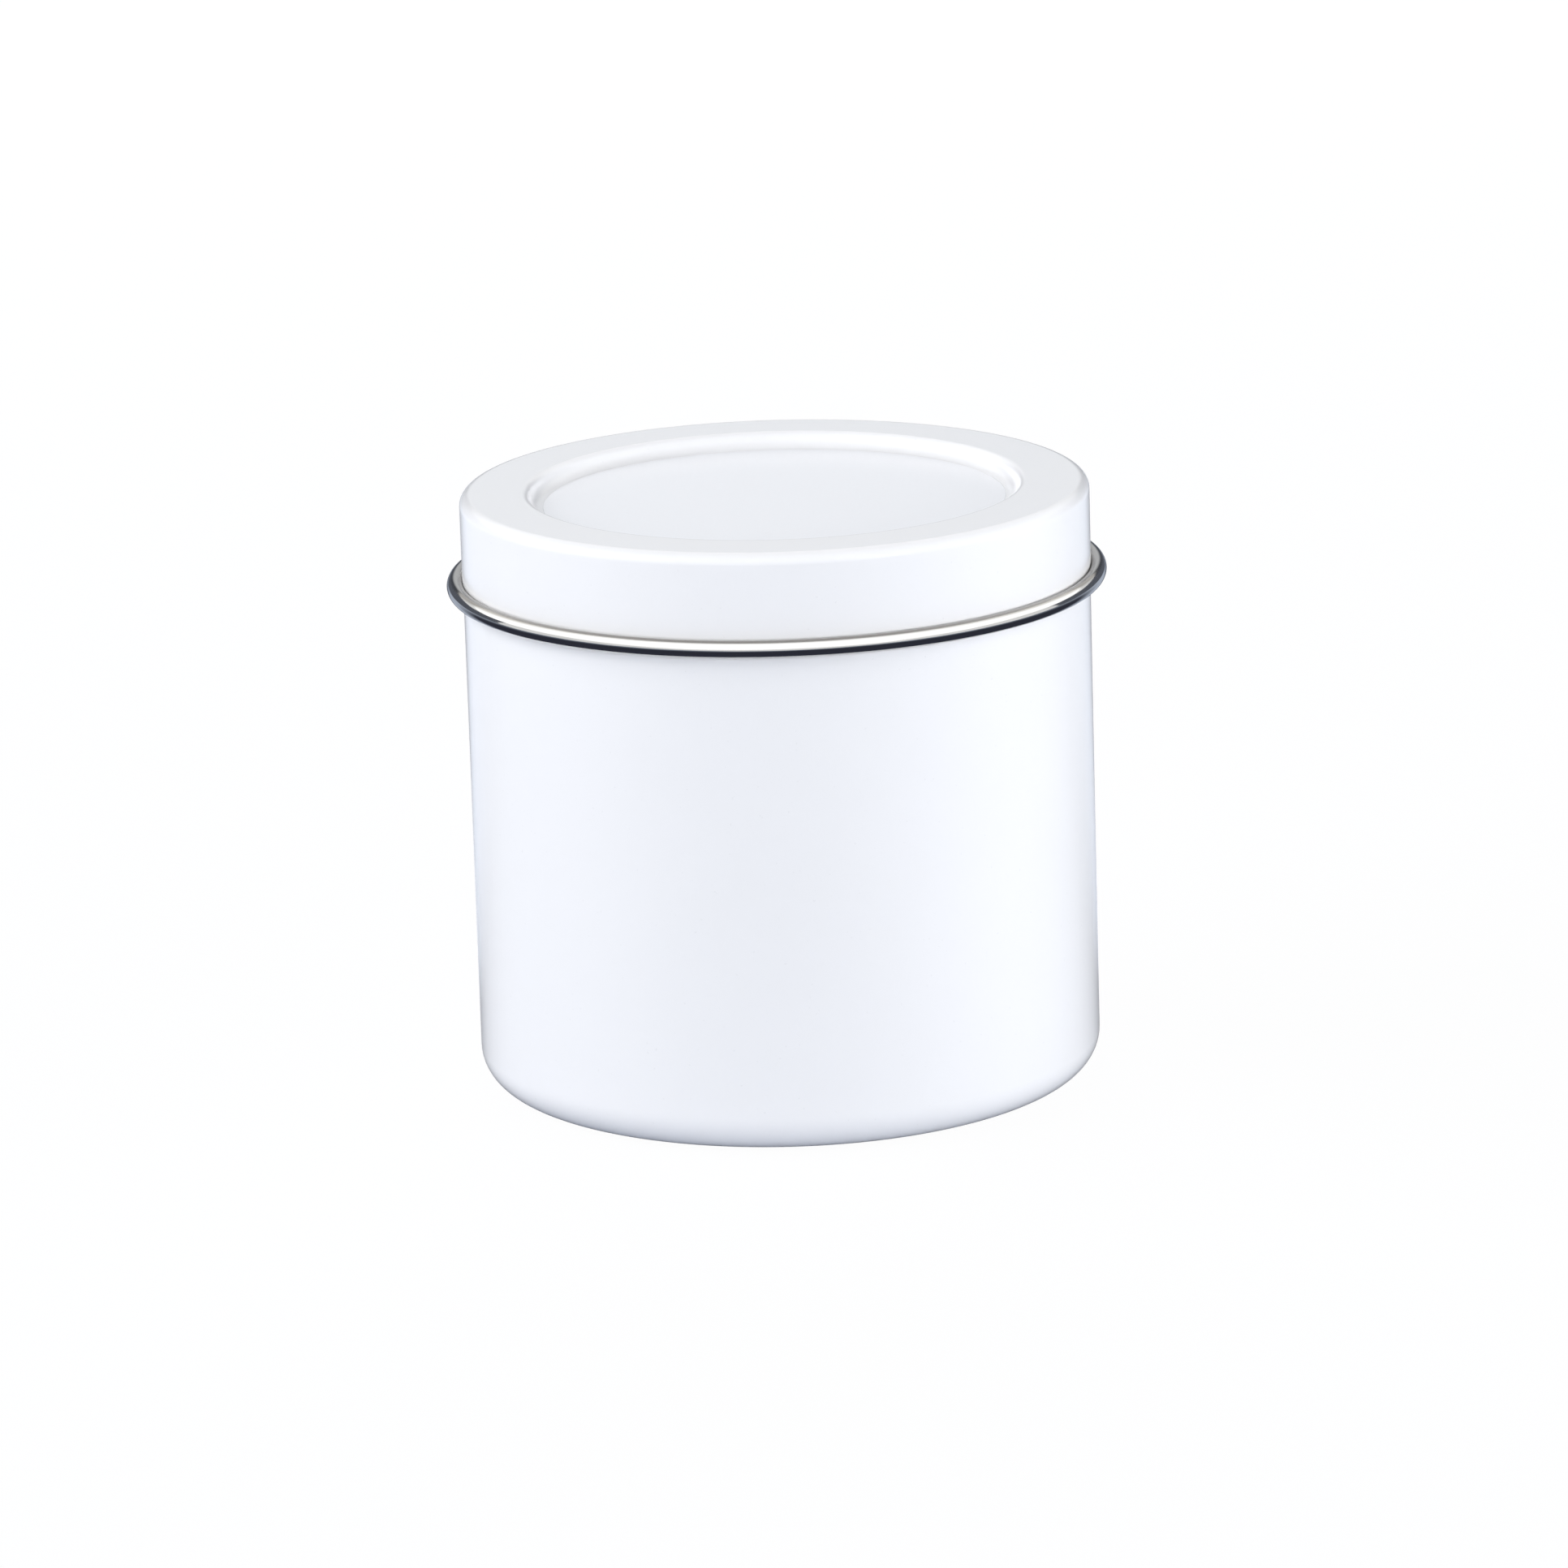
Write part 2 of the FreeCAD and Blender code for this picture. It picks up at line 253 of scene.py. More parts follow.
class TinStudio(bpy.types.PropertyGroup):
    """Camera, light and floor. Glowing sheets under, above and behind the tin show only in reflections, as
    painted reflections and highlights.
    """

    view_height: angle("View height", "How far the camera looks down", 14.62)
    view_roll: angle("View roll", "How far the picture is turned", -1.74)
    view_distance: length("View distance", "From the camera to its target", 0.972)
    target: FloatVectorProperty(
        name="Target",
        description="Point of the tin in the middle of the picture",
        default=(0.118 * MM, 0.0, 35.68 * MM),
        size=3,
        subtype="TRANSLATION",
        unit="LENGTH",
    )
    lens: amount("Lens", "Focal length for a 36 mm wide sensor, in millimetres", 182.9, largest=500.0)
    ambient: amount("Ambient", "Strength of the even light from all round", 0.12)
    ambient_tint: colour("Ambient tint", "Colour of the even light from all round", 248, 250, 255)
    right_light: amount("Right light", "Light that the right lamp adds to a surface that faces it", 1.135)
    left_light: amount("Left light", "Light that the left lamp adds to a surface that faces it", 1.70)
    key_light: amount("Key light", "Light that the low key lamp adds to a surface that faces it", 0.625)
    rear_light: amount("Rear light", "Light that the rear lamp adds to a surface that faces it", 0.48)
    side_bearing: angle("Side bearing", "How far the side lamps stand round from the view", 80.0)
    right_height: angle("Right height", "How high the right lamp stands above the floor", 9.0)
    left_height: angle("Left height", "How high the left lamp stands above the floor", 21.0)
    side_width: length("Side width", "Width of each side lamp's soft face", 1.6)
    key_bearing: angle("Key bearing", "How far the key lamp stands round to the right", 36.0)
    key_height: angle("Key height", "How high the key lamp stands above the floor", 3.0)
    key_width: length("Key width", "Width of the key lamp's soft face", 0.4)
    rear_height: angle("Rear height", "How high the rear lamp stands above the floor", 24.0)
    rear_width: length("Rear width", "Width of the rear lamp's soft face", 0.8)
    lamp_distance: length("Lamp distance", "From each lamp to the tin", 1.3)
    floor: colour("Floor", "Pale floor", 181, 187, 199)
    floor_drop: length("Floor drop", "From the standing ring down to the floor, just clear of it", 0.2 * MM)
    floor_width: length("Floor width", "From the tin to the floor's edge", 6.0)
    floor_white: share("Floor white", "How far the floor fades to the white background", 0.94)
    floor_level: amount("Floor level", "Strength of the white that the floor fades to", 1.03)
    # Painted reflection: a dark glowing sheet under the tin, seen only in gloss, paints the bead's dark
    # lower band and the dark edges of the white walls
    mat: colour("Mat", "Dark ground close to the tin", 54, 56, 68)
    far_painted_reflection: colour("Mat far", "Dim ground further from the tin", 150, 158, 172)
    rear_painted_reflection: colour("Mat rear", "Dim ground beside and behind the tin", 185, 194, 210)
    dark_painted_reflection_width: length("Mat width", "From the tin to the dark ground's edge", 1.2)
    # Painted highlight: a bright glowing sheet overhead, seen only in gloss, paints the highlights on the
    # bead, the lid's shoulder and the window's step
    ceiling_painted_highlight_strength: amount("Ceiling light", "Strength of the bright ceiling", 1.7)
    ceiling_height: length("Ceiling height", "Height of the bright ceiling", 0.6)
    ceiling_width: length("Ceiling width", "From the ceiling's middle to its edges", 1.6)
    ceiling_forward: length("Ceiling forward", "How far its middle is in front", 0.6)
    # Painted reflection: a dim glowing sheet behind the tin, seen only in gloss, with a bright upper middle,
    # paints the tone of the lid's ring
    backdrop_painted_reflection: colour("Backdrop", "Dim backdrop", 98, 102, 112)
    backdrop_bright_painted_reflection: colour("Backdrop bright", "Backdrop's upper middle", 246, 250, 255)
    backdrop_painted_reflection_strength: amount("Backdrop light", "Strength of the backdrop", 0.95)
    backdrop_distance: length("Backdrop distance", "From the tin back to the backdrop", 1.2)
    backdrop_spread: angle("Backdrop spread", "How far the backdrop reaches round to each side", 70.0)
    backdrop_height: angle("Backdrop height", "How high the backdrop stands above the floor", 20.0)


class SheetPath:
    """One face of a bent sheet, walked through the plane (radius, height).

    A run goes from P to P + L (cos h, sin h), for the heading h. A bend of radius R and
    turn T has its centre C = P + R (-sin h, cos h), for a turn to the left, and its point
    at the share k is C + R (sin(h + k T), -cos(h + k T)). Lengths walked add up in along.
    """

    def __init__(self, radius, height, heading):
        self.points = np.array([[radius, height]])
        self.headings = np.array([heading])
        self.along = np.array([0.0])

    def _add(self, points, headings, distance):
        self.points = np.vstack([self.points, points])
        self.headings = np.append(self.headings, headings)
        self.along = np.append(self.along, self.along[-1] + distance)

    def run(self, distance):
        """Straight on for a distance, in equal steps, with a short step at each end.

        The short steps keep the smooth shading of a bend beside the run off its flat part.
        """
        heading = self.headings[-1]
        short = min(SHORT_STEP, SHORT_SHARE * distance)
        steps = math.ceil(distance / RUN_STEP)
        walked = np.concatenate([np.linspace(short, distance - short, steps + 1), [distance]])
        direction = np.array([math.cos(heading), math.sin(heading)])
        self._add(self.points[-1] + walked[:, None] * direction, np.full(len(walked), heading), walked)

    def bend(self, radius, turn):
        """A tangent bend, in equal steps. A positive turn is to the left."""
        heading = self.headings[-1]
        steps = max(1, round(abs(turn) / BEND_STEP))
        reach = math.copysign(radius, turn)
        centre = self.points[-1] + reach * np.array([-math.sin(heading), math.cos(heading)])
        walked = np.arange(1, steps + 1) / steps
        headings = heading + walked * turn
        points = centre + reach * np.stack([np.sin(headings), -np.cos(headings)], axis=1)
        self._add(points, headings, radius * abs(turn) * walked)

    def other_face(self, offset):
        """The face that lies an offset to the left: P + offset (-sin h, cos h)."""
        normals = np.stack([-np.sin(self.headings), np.cos(self.headings)], axis=1)
        return self.points + offset * normals


class Section:
    """Closed or axis-to-axis outline that is carried round the Z axis.

    points are (radius, height), from_edge is the length along the sheet to its last raw
    edge, and bare says for each step to the next point whether it is bare tinplate.
    """

    def __init__(self, points, closed, from_edge=0.0, bare=False):
        self.points = points
        self.closed = closed
        self.from_edge = np.broadcast_to(from_edge, len(points))
        self.bare = np.broadcast_to(bare, len(points))


def raw_edge(start, end, heading):
    """Sheared edge from start to end about their middle, bulging towards the heading.

    With M the middle and d half the way from start to end, the point at the angle t is
    M - d c(t) + |d| s(t) (cos h, sin h), for t from 0 to pi, without its two ends. c and s
    are the signed square roots of cos t and sin t, which make a square with soft corners.
    """
    middle = (start + end) / 2
    half = (end - start) / 2
    bulge = np.hypot(*half) * np.array([math.cos(heading), math.sin(heading)])
    turn = (math.pi * np.arange(1, EDGE_STEPS) / EDGE_STEPS)[:, None]
    across = np.sign(np.cos(turn)) * np.sqrt(np.abs(np.cos(turn)))
    return middle - half * across + bulge * np.sqrt(np.sin(turn))


def sheet_section(path, thickness, closed):
    """The outline of a sheet whose lacquered face is a path, with sheared raw edges.

    The thickness is to the left of the path if it is positive. The lacquered face, the
    last raw edge and the bare face walked back make the outline. A closed one has a
    second edge at its start, under the lacquer; the other kind begins and ends on the axis.
    """
    far = path.other_face(thickness)
    last_edge = raw_edge(path.points[-1], far[-1], path.headings[-1])
    points = [path.points, last_edge, far[::-1]]
    along = [path.along, np.full(EDGE_STEPS - 1, path.along[-1]), path.along[::-1]]
    if closed:
        points.append(raw_edge(far[0], path.points[0], path.headings[0] + math.pi))
        along.append(np.zeros(EDGE_STEPS - 1))
    points = np.vstack(points)
    along = np.concatenate(along)
    face_steps = len(path.points) - 1
    step = np.arange(len(points))
    bare = (step >= face_steps) & (step < 2 * face_steps + EDGE_STEPS)
    if thickness < 0:
        points, along = points[::-1], along[::-1]
        bare = np.roll(bare[::-1], -1)
    return Section(points, closed, path.along[-1] - along, bare)


def roll_turn(radius, sheet, gap):
    """How far an edge is rolled until its sheared raw edge is a gap from its own sheet.

    The turn is 2 pi - acos(1 - (t + g) / R) - t / (2 R), for a sheet t, a gap g and a radius R.
    """
    raw_edge_turn = sheet / 2 / radius
    return 2 * math.pi - math.acos(1 - (sheet + gap) / radius) - raw_edge_turn


def step_sizes(height, slope_angle, bends):
    """Slope length and width of a step between two levels, with a bend at each end of it.

    Bends of the summed radius R take up R (1 - cos a) of the height and R sin a of the width.
    """
    slope = (height - bends * (1 - math.cos(slope_angle))) / math.sin(slope_angle)
    return slope, bends * math.sin(slope_angle) + slope * math.cos(slope_angle)


def skirt_radius(sizes):
    """Outside of the lid's skirt, which slips over the can's neck."""
    return sizes.can_radius - sizes.neck_inset + sizes.slip_fit + sizes.sheet


def window_sizes(sizes):
    """Slope length of the window's step, and the radius of the seat's raw edge inside it."""
    depth = sizes.lid_top - sizes.pane_top
    slope, width = step_sizes(depth, sizes.window_step, sizes.window_edge + sizes.window_foot)
    return slope, skirt_radius(sizes) - sizes.ring_width - width - sizes.window_seat


def can_section(sizes):
    """Base panel, step, standing ring, corner, wall, neck and inward roll, outside face first."""
    step = sizes.base_step
    slope, step_width = step_sizes(sizes.base_recess, step, 2 * sizes.base_bend)
    ring_inner = sizes.can_radius - sizes.base_corner - sizes.standing_ring
    neck_slope, neck_length = step_sizes(sizes.neck_inset, sizes.neck_step, 2 * sizes.neck_bend)
    neck_top = sizes.lid_foot + sizes.neck_rise
    path = SheetPath(0.0, sizes.base_recess, 0.0)
    path.run(ring_inner - step_width)
    path.bend(sizes.base_bend, -step)
    path.run(slope)
    path.bend(sizes.base_bend, step)
    path.run(sizes.standing_ring)
    path.bend(sizes.base_corner, math.pi / 2)
    path.run(neck_top - neck_length - sizes.base_corner)
    path.bend(sizes.neck_bend, sizes.neck_step)
    path.run(neck_slope)
    path.bend(sizes.neck_bend, -sizes.neck_step)
    path.run(sizes.can_height - sizes.mouth_roll - neck_top)
    path.bend(sizes.mouth_roll, roll_turn(sizes.mouth_roll, sizes.sheet, sizes.mouth_gap))
    return sheet_section(path, sizes.sheet, closed=False)


def lid_section(sizes):
    """Window seat, step, ring, corner, skirt and outward roll, outside face first."""
    slope, seat_radius = window_sizes(sizes)
    skirt = sizes.lid_top - sizes.lid_corner - sizes.lid_foot - sizes.skirt_roll
    path = SheetPath(seat_radius + sizes.sheet / 2, sizes.pane_top, 0.0)
    path.run(sizes.window_seat - sizes.sheet / 2)
    path.bend(sizes.window_foot, sizes.window_step)
    path.run(slope)
    path.bend(sizes.window_edge, -sizes.window_step)
    path.run(sizes.ring_width - sizes.lid_corner)
    path.bend(sizes.lid_corner, -math.pi / 2)
    path.run(skirt)
    path.bend(sizes.skirt_roll - sizes.sheet, roll_turn(sizes.skirt_roll, sizes.sheet, sizes.skirt_gap))
    return sheet_section(path, -sizes.sheet, closed=True)


def pane_section(sizes):
    """Disc with a raised middle, from the middle of its lower face to that of its upper."""
    rim = sizes.pane_rim
    middle_radius = window_sizes(sizes)[1] - sizes.pane_seam
    path = SheetPath(0.0, sizes.pane_foot, 0.0)
    path.run(sizes.pane_radius - rim)
    path.bend(rim, math.pi / 2)
    path.run(sizes.tape_foot - sizes.pane_foot - 2 * rim)
    path.bend(rim, math.pi / 2)
    path.run(sizes.pane_radius - middle_radius - 2 * rim)
    path.bend(rim, -math.pi / 2)
    path.run(sizes.pane_top - sizes.tape_foot - 2 * rim)
    path.bend(rim, math.pi / 2)
    path.run(middle_radius - rim)
    return Section(path.points, closed=False)


def tape_section(sizes):
    """Foam ring whose two sides bulge: the half width is w - d s^4, for s from -1 to 1 in height."""
    height_share = np.linspace(-1.0, 1.0, TAPE_ROWS)
    half_height = (sizes.tape_top - sizes.tape_foot) / 2
    half_width = sizes.tape_width / 2 - sizes.tape_waist * height_share**4
    middle = sizes.pane_radius - sizes.tape_width / 2
    heights = sizes.tape_foot + half_height * (1 + height_share)
    outer = np.stack([middle + half_width, heights], axis=1)
    inner = np.stack([middle - half_width, heights], axis=1)[::-1]
    return Section(np.vstack([outer, inner]), closed=True)


def angles_round(around):
    """The grid's angles about the Z axis: a_j = 2 pi j / n."""
    return 2 * math.pi * np.arange(around) / around


def unevenness(around, lobes, phases):
    """Slow wave round the axis, from 0 to 1: the mean of (1 + cos(n a + p)) / 2 over its lobes."""
    crests = np.cos(np.outer(lobes, angles_round(around)) + np.asarray(phases)[:, None])
    return (1 + crests.mean(axis=0)) / 2


def wall_dent(sizes, section):
    """Waves of the can's wall: w sin^2(pi s) times the unevenness, for s from corner to mouth."""
    rise = (section.points[:, 1] - sizes.base_corner) / (sizes.can_height - sizes.base_corner)
    fade = np.sin(math.pi * np.clip(rise, 0.0, 1.0)) ** 2
    on_wall = section.points[:, 0] > sizes.can_radius - sizes.neck_inset - 2 * sizes.sheet
    wave = unevenness(sizes.around, WALL_LOBES, WALL_PHASES)
    return sizes.wall_wave * (fade * on_wall)[:, None] * wave


def roll_dent(sizes, section):
    """Waves of the skirt's roll: w times the unevenness, clear of the skirt."""
    on_roll = section.points[:, 0] > skirt_radius(sizes) + sizes.sheet
    wave = unevenness(sizes.around, ROLL_LOBES, ROLL_PHASES)
    return sizes.roll_wave * on_roll[:, None] * wave


def lathe(name, section, around, dent=0.0):
    """Carries a section round the Z axis: P(i, j) = (r_i cos a_j, r_i sin a_j, z_i).

    dent is an inward move of each grid point, by row and by angle. An open section begins
    and ends on the axis, where its row becomes one pole of a fan.
    """
    angles = angles_round(around)
    rows = np.arange(len(section.points))
    radius = np.broadcast_to(section.points[:, :1] - dent, (len(rows), around))
    height = np.broadcast_to(section.points[:, 1:], radius.shape)
    grid = np.stack([radius * np.cos(angles), radius * np.sin(angles), height], axis=2)
    here, there = (rows, np.roll(rows, -1)) if section.closed else (rows[1:-2], rows[2:-1])
    vertices = grid.reshape(-1, 3)
    quads = quads_between(here, there, around)
    from_edge = np.repeat(section.from_edge, around)
    bare = np.repeat(section.bare[here], around)
    if section.closed:
        return add_piece(name, vertices, quads.tolist(), from_edge, bare)
    return add_piece(name, *with_poles(section, vertices, quads, from_edge, bare, around))


def quads_between(here, there, around):
    """Faces between rows of the grid and the rows after them, as four vertex numbers each."""
    column = np.arange(around)
    beside = np.roll(column, -1)
    near = here[:, None] * around
    far = there[:, None] * around
    corners = [near + column, near + beside, far + beside, far + column]
    return np.stack(corners, axis=2).reshape(-1, len(corners))


def with_poles(section, vertices, quads, from_edge, bare, around):
    """Turns the first and last rows of an open section's grid into poles with fans."""
    inner = vertices[around:-around]
    poles = np.array([[0.0, 0.0, section.points[0, 1]], [0.0, 0.0, section.points[-1, 1]]])
    first_pole, last_pole = len(inner), len(inner) + 1
    column = np.arange(around)
    beside = np.roll(column, -1)
    last_row = len(inner) - around
    first_fan = np.stack([np.full(around, first_pole), beside, column], axis=1)
    last_fan = np.stack([last_row + column, last_row + beside, np.full(around, last_pole)], axis=1)
    faces = (quads - around).tolist() + first_fan.tolist() + last_fan.tolist()
    from_edge = np.concatenate([from_edge[around:-around], section.from_edge[[0, -1]]])
    bare = np.concatenate([bare, np.repeat(section.bare[[0, -2]], around)])
    return np.vstack([inner, poles]), faces, from_edge, bare


def add_piece(name, vertices, faces, from_edge, bare):
    """A smooth piece whose mesh carries from_edge at its points and bare on its faces."""
    mesh = bpy.data.meshes.new(name)
    mesh.from_pydata(vertices, [], faces)
    mesh.polygons.foreach_set("use_smooth", np.ones(len(faces), bool))
    for label, domain, numbers in (("from_edge", "POINT", from_edge), ("bare", "FACE", bare)):
        attribute = mesh.attributes.new(label, "FLOAT", domain)
        attribute.data.foreach_set("value", numbers.astype(np.float32))
    if mesh.validate():
        raise ValueError(name + " has faulty faces")
    return add_to_scene(name, mesh)


def add_to_scene(name, data):
    """A new object for a mesh, lamp or camera, at the origin."""
    thing = bpy.data.objects.new(name, data)
    bpy.context.scene.collection.objects.link(thing)
    return thing


def operator_pair(operation):
    """An operator on values and its reflected form, which add a Math node."""

    def plain(value, other):
        return value.finish.value("ShaderNodeMath", 0, {"operation": operation}, {0: value, 1: other})

    def reflected(value, other):
        return value.finish.value("ShaderNodeMath", 0, {"operation": operation}, {0: other, 1: value})

    return plain, reflected


class Value:
    """A number that varies over a surface. Arithmetic on it adds Math nodes to its finish."""

    def __init__(self, finish, socket):
        self.finish = finish
        self.socket = socket

    __add__, __radd__ = operator_pair("ADD")
    __sub__, __rsub__ = operator_pair("SUBTRACT")
    __mul__, __rmul__ = operator_pair("MULTIPLY")
    __truediv__, __rtruediv__ = operator_pair("DIVIDE")
    __or__, __ror__ = operator_pair("MAXIMUM")


class Finish:
    """A node tree that is written as expressions."""

    def __init__(self, tree):
        self.tree = tree
        tree.nodes.clear()

    def node(self, kind, settings=None, inputs=None):
        """Any node: its settings come first, then the values or links of its sockets."""
        node = self.tree.nodes.new(kind)
        for key, setting in (settings or {}).items():
            if key == "stops":
                self._set_stops(node.color_ramp, setting)
            else:
                setattr(node, key, setting)
        for key, given in (inputs or {}).items():
            self._set_socket(node.inputs[key], given)
        return node

    def _set_socket(self, socket, given):
        given = getattr(given, "socket", given)
        if isinstance(given, bpy.types.NodeSocket):
            self.tree.links.new(given, socket)
        else:
            socket.default_value = given

    @staticmethod
    def _set_stops(ramp, stops):
        for position, _ in stops[2:]:
            ramp.elements.new(position)
        for element, (position, level) in zip(ramp.elements, stops):
            element.position = position
            element.color = (level, level, level, 1.0)

    def value(self, kind, output, settings=None, inputs=None):
        """One output of a new node, as a Value."""
        return Value(self, self.node(kind, settings, inputs).outputs[output])

    def vector(self, operation, inputs):
        """The vector that a Vector Math node gives."""
        return self.node("ShaderNodeVectorMath", {"operation": operation}, inputs).outputs[0]

    def attribute(self, name):
        """A number that the mesh carries."""
        return self.value("ShaderNodeAttribute", "Fac", {"attribute_name": name})

    def place(self):
        """Object coordinates, in metres."""
        return self.node("ShaderNodeTexCoord").outputs["Object"]

    def noise(self, place, per_metre, detail=2.0):
        """Noise from 0 to 1 with so many waves in a metre."""
        inputs = {"Vector": place, "Scale": per_metre, "Detail": detail}
        return self.value("ShaderNodeTexNoise", "Fac", None, inputs)

    def rings(self, place, from_edge, turns, per_metre, detail):
        """Noise drawn out round the axis: fine along the section, slow from angle to angle."""
        slow = self.vector("SCALE", {0: self.outwards(place), "Scale": turns})
        fine = self.node("ShaderNodeCombineXYZ", None, {"Z": from_edge * per_metre}).outputs[0]
        return self.noise(self.vector("ADD", {0: slow, 1: fine}), 1.0, detail)

    def ramp(self, factor, stops):
        """A number that goes through (position, level) stops as the factor rises."""
        return self.value("ShaderNodeValToRGB", "Color", {"stops": stops}, {"Fac": factor})

    def blend(self, factor, first, second):
        """A colour between two, by a factor. Sockets 6 and 7, and the output 2, are its colours."""
        inputs = {0: factor, 6: opaque(first), 7: opaque(second)}
        return self.node("ShaderNodeMix", {"data_type": "RGBA"}, inputs).outputs[2]

    def outwards(self, place):
        """Level unit vector from the axis towards a place."""
        level = self.vector("MULTIPLY", {0: place, 1: (1.0, 1.0, 0.0)})
        return self.vector("NORMALIZE", {0: level})

    def magnitude(self, vector):
        """How long a vector is."""
        return self.value("ShaderNodeVectorMath", "Value", {"operation": "LENGTH"}, {0: vector})

    def coordinate(self, vector, axis):
        """One coordinate of a vector."""
        return self.value("ShaderNodeSeparateXYZ", axis, None, {0: vector})

    def bump(self, height, distance, strength):
        """A normal that a height in shares of a distance roughens."""
        inputs = {"Strength": strength, "Distance": distance, "Height": height}
        return self.node("ShaderNodeBump", None, inputs).outputs["Normal"]

    def mixed(self, factor, first, second):
        """A shader between two, by a factor."""
        inputs = {0: factor, 1: first.outputs[0], 2: second.outputs[0]}
        return self.node("ShaderNodeMixShader", None, inputs)

    def end(self, shader, kind="ShaderNodeOutputMaterial"):
        """Ends the tree with a shader."""
        self.node(kind, None, {"Surface": shader.outputs[0]})


def opaque(given):
    """A colour with its alpha, or a link as it is."""
    return given if isinstance(given, bpy.types.NodeSocket) else (*given, 1.0)


def shaded(tint, light):
    """A colour with a share of its light."""
    return [light * channel for channel in tint]


def blank_material(name):
    """A new material, and its finish with nothing in it."""
    material = bpy.data.materials.new(name)
    material.use_nodes = True
    return material, Finish(material.node_tree)


def lacquer(finish, place, colours, grain):
    """Colour, roughness and height of white lacquer with clouds, orange peel and specks."""
    cloud = finish.noise(place, grain.lacquer_cloud, detail=3.0)
    peel = finish.noise(place, grain.lacquer_peel)
    specks = finish.ramp(finish.noise(place, grain.lacquer_speck, detail=1.0), SPECK_STOPS)
    clouded = shaded(colours.lacquer, grain.lacquer_cloud_shade)
    speckled = shaded(colours.lacquer, grain.lacquer_speck_shade)
    white = finish.blend(specks, finish.blend(cloud, colours.lacquer, clouded), speckled)
    roughness = grain.lacquer_roughness + cloud * grain.lacquer_cloud_roughness
    return white, roughness, peel * grain.lacquer_peel_depth


def bare_tinplate(finish, place, colours, grain):
    """Colour, roughness and height of drawn tinplate with rings, darkened beside its raw edge: a dull
    sheared edge, with painted shade in the crease where the roll meets its own sheet.
    """
    from_edge = finish.attribute("from_edge")
    rings = finish.rings(place, from_edge, grain.ring_turns, grain.ring, detail=3.0)
    broad = finish.rings(place, from_edge, grain.broad_ring_turns, grain.broad_ring, detail=2.0)
    ringed = rings * grain.ring_strength + broad * grain.broad_ring_strength
    bright = finish.blend(ringed, colours.tinplate, shaded(colours.tinplate, grain.ring_shade))
    # Darker beside the raw edge: a dull sheared edge, with painted shade in the crease beside the roll
    dull_edge_and_crease_shade = finish.ramp(from_edge / grain.dull_edge_and_crease_shade_reach, DULL_EDGE_AND_CREASE_SHADE_STOPS)
    roughness = grain.tinplate_roughness + rings * grain.ring_roughness
    return finish.blend(dull_edge_and_crease_shade, bright, colours.dull_edge_and_crease_shade), roughness, rings * grain.ring_depth


def lacquered_sheet(name, colours, grain):
    """White lacquer where the sheet isn't bare, and drawn tinplate where it is."""
    material, finish = blank_material(name)
    place = finish.place()
    bare = finish.attribute("bare")
    white, gloss, peel = lacquer(finish, place, colours, grain)
    bright, shine, rings = bare_tinplate(finish, place, colours, grain)
    coated = 1 - bare
    height = peel * coated + rings * bare
    inputs = {
        "Base Color": finish.blend(bare, white, bright),
        "Metallic": bare,
        "Roughness": gloss * coated + shine * bare,
        "IOR": grain.lacquer_ior,
        "Normal": finish.bump(height, grain.sheet_depth, grain.sheet_relief),
    }
    finish.end(finish.node("ShaderNodeBsdfPrincipled", None, inputs))
    return material


def opal_sheet(name, colours, grain):
    """Milky gloss plastic with a fine grain and faint clouds."""
    material, finish = blank_material(name)
    place = finish.place()
    cloud = finish.noise(place, grain.opal_cloud, detail=3.0)
    fine = finish.noise(place, grain.opal_grain)
    inputs = {
        "Base Color": finish.blend(cloud, colours.opal, shaded(colours.opal, grain.opal_cloud_shade)),
        "Roughness": grain.opal_roughness + fine * grain.opal_grain_roughness,
        "IOR": grain.opal_ior,
        "Normal": finish.bump(fine, grain.opal_depth, grain.opal_relief),
    }
    finish.end(finish.node("ShaderNodeBsdfPrincipled", None, inputs))
    return material


def cut_foam(name, colours, grain):
    """Matt foam with open cells at its cut sides, with painted shade in the cells' pits."""
    material, finish = blank_material(name)
    place = finish.place()
    scaled = {"Vector": place, "Scale": grain.foam_cell}
    cells = finish.value("ShaderNodeTexVoronoi", "Distance", None, scaled)
    cloud = finish.noise(place, grain.foam_cloud)
    # Painted shade in the pits of the open cells, where the bump sinks; the clouds are random tone
    pore_painted_shade = finish.ramp(cells, PORE_PAINTED_SHADE_STOPS)
    dark = pore_painted_shade * grain.foam_pore_painted_shade_strength + cloud * grain.foam_cloud_strength
    inputs = {
        "Base Color": finish.blend(dark, colours.foam, shaded(colours.foam, grain.foam_shade)),
        "Roughness": grain.foam_roughness + cloud * grain.foam_cloud_roughness,
        "Normal": finish.bump(cells, grain.foam_depth, grain.foam_relief),
    }
    finish.end(finish.node("ShaderNodeBsdfPrincipled", None, inputs))
    return material


def finished(piece, material, node, body):
    """Gives a piece its material, hides the node that it stands for, and hangs it on the empty of the body
    that it moves with.
    """
    piece.data.materials.append(material)
    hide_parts(node)
    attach(piece, body)


def settings_of(context):
    """The sizes, colours and grain that the pieces are made from."""
    scene = context.scene
    return scene.tin_sizes, scene.tin_colours, scene.tin_grain


class TIN_OT_can(bpy.types.Operator):
    """Adds the drawn can, with its rolled mouth and recessed base"""

    bl_idname = "tin.can"
    bl_label = "Can"

    def execute(self, context):
        sizes, colours, grain = settings_of(context)
        section = can_section(sizes)
        piece = lathe("drawn_can", section, sizes.around, wall_dent(sizes, section))
        material = lacquered_sheet("lacquered can", colours, grain)
        finished(piece, material, "can_body", "can")
        return {"FINISHED"}


